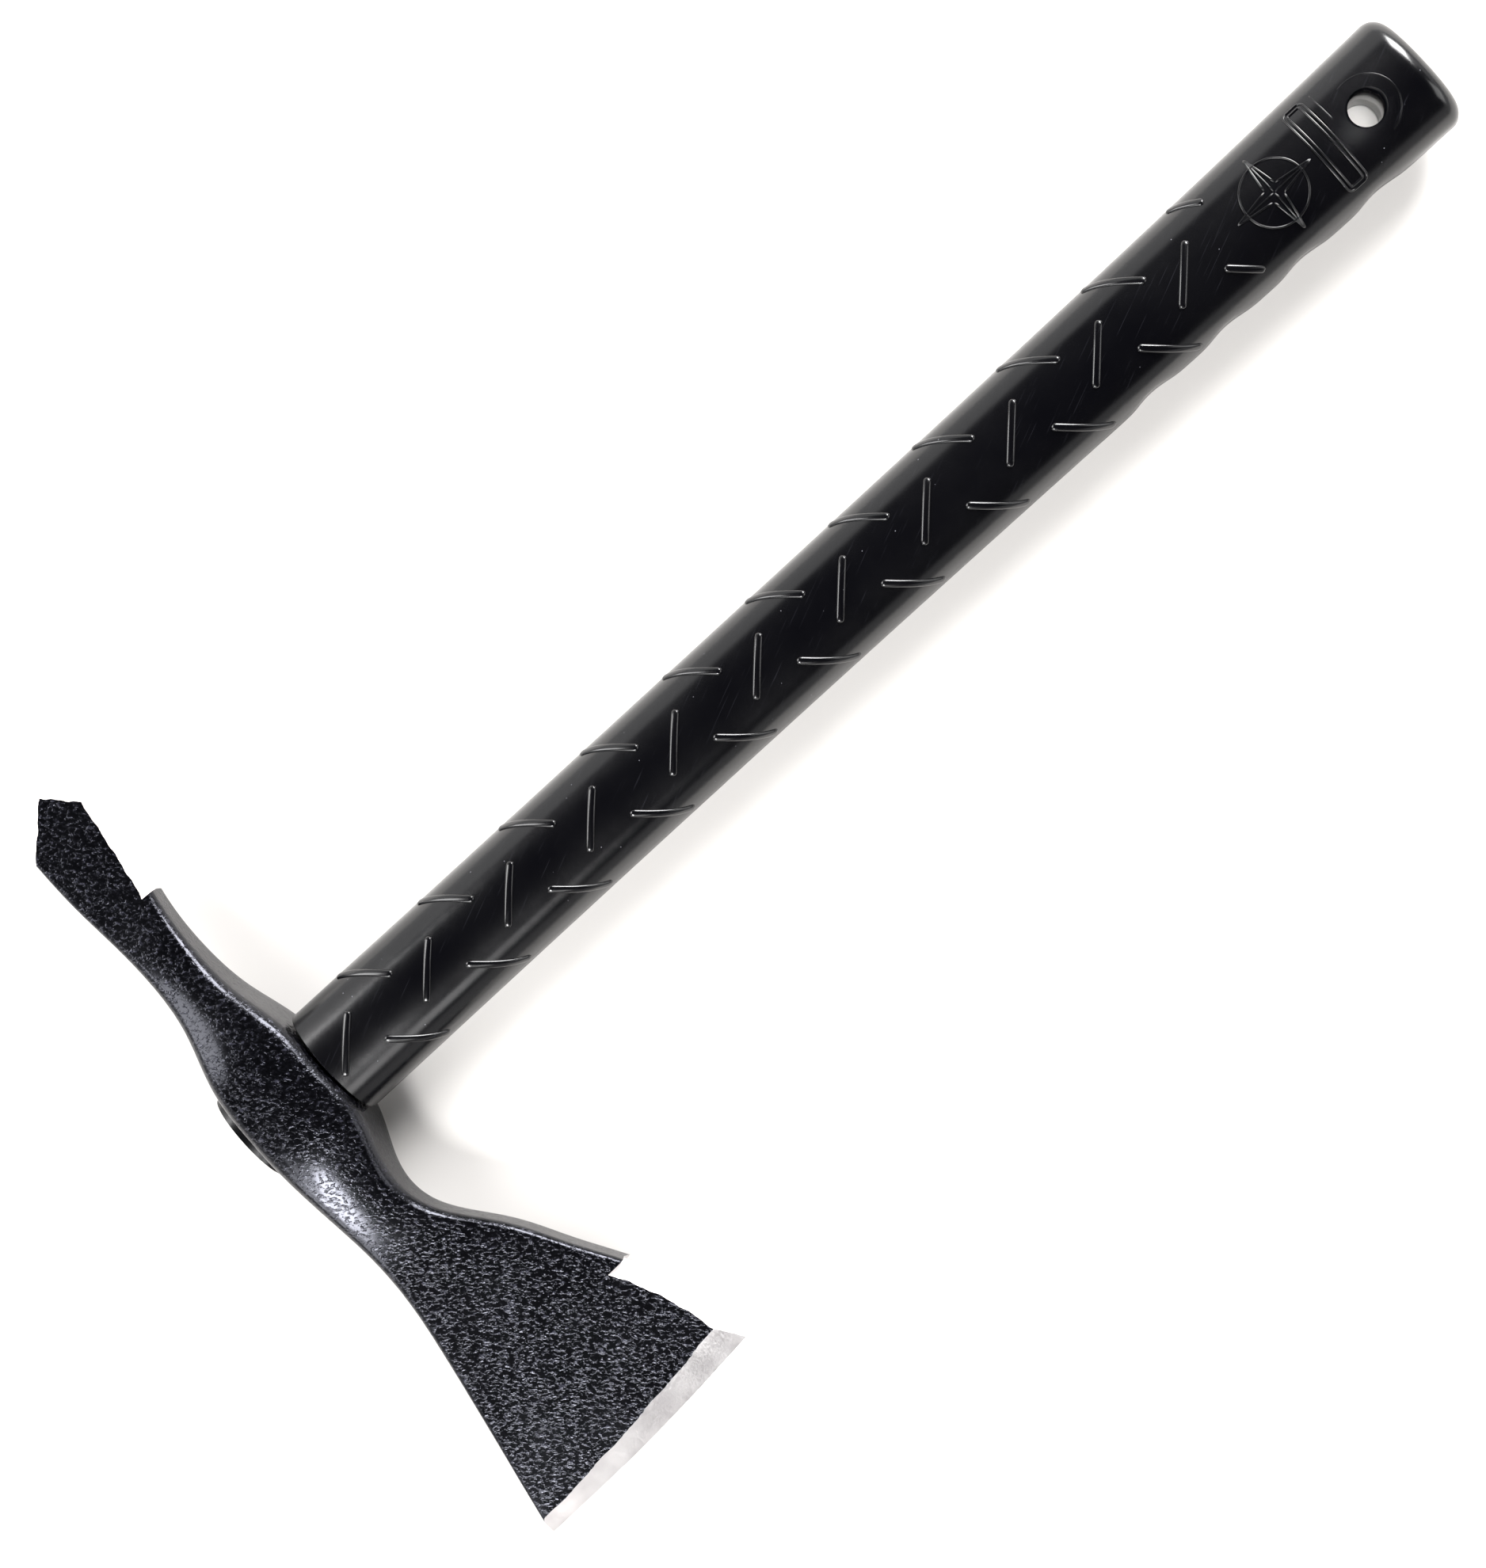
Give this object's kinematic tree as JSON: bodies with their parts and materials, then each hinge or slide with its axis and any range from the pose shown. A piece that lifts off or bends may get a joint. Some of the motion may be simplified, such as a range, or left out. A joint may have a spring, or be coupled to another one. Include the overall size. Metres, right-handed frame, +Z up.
{
  "type": "fire axe",
  "caption": "Compact fire and rescue axe: bearded blade, chisel-ended spike behind it, straight ribbed oval handle with finger grooves and a hanging hole.",
  "frame": {"origin": "centre of the underside of the bounding box of the axe lying on its side", "axes": "+X along the handle from the butt to the head, +Y from the spike to the cutting edge, +Z up through the thickness"},
  "size_m": [0.3809, 0.2156, 0.027],
  "materials": {
    "coated_steel": "coarse black coating, bare ground edges",
    "nylon": "satin moulded",
    "resin": "cast",
    "bare_steel": "cold rolled"
  },
  "bodies": {
    "root": {"head": "coated_steel", "handle": "nylon", "eye_bond": "resin", "wedge": "bare_steel"}
  },
  "joints": []
}
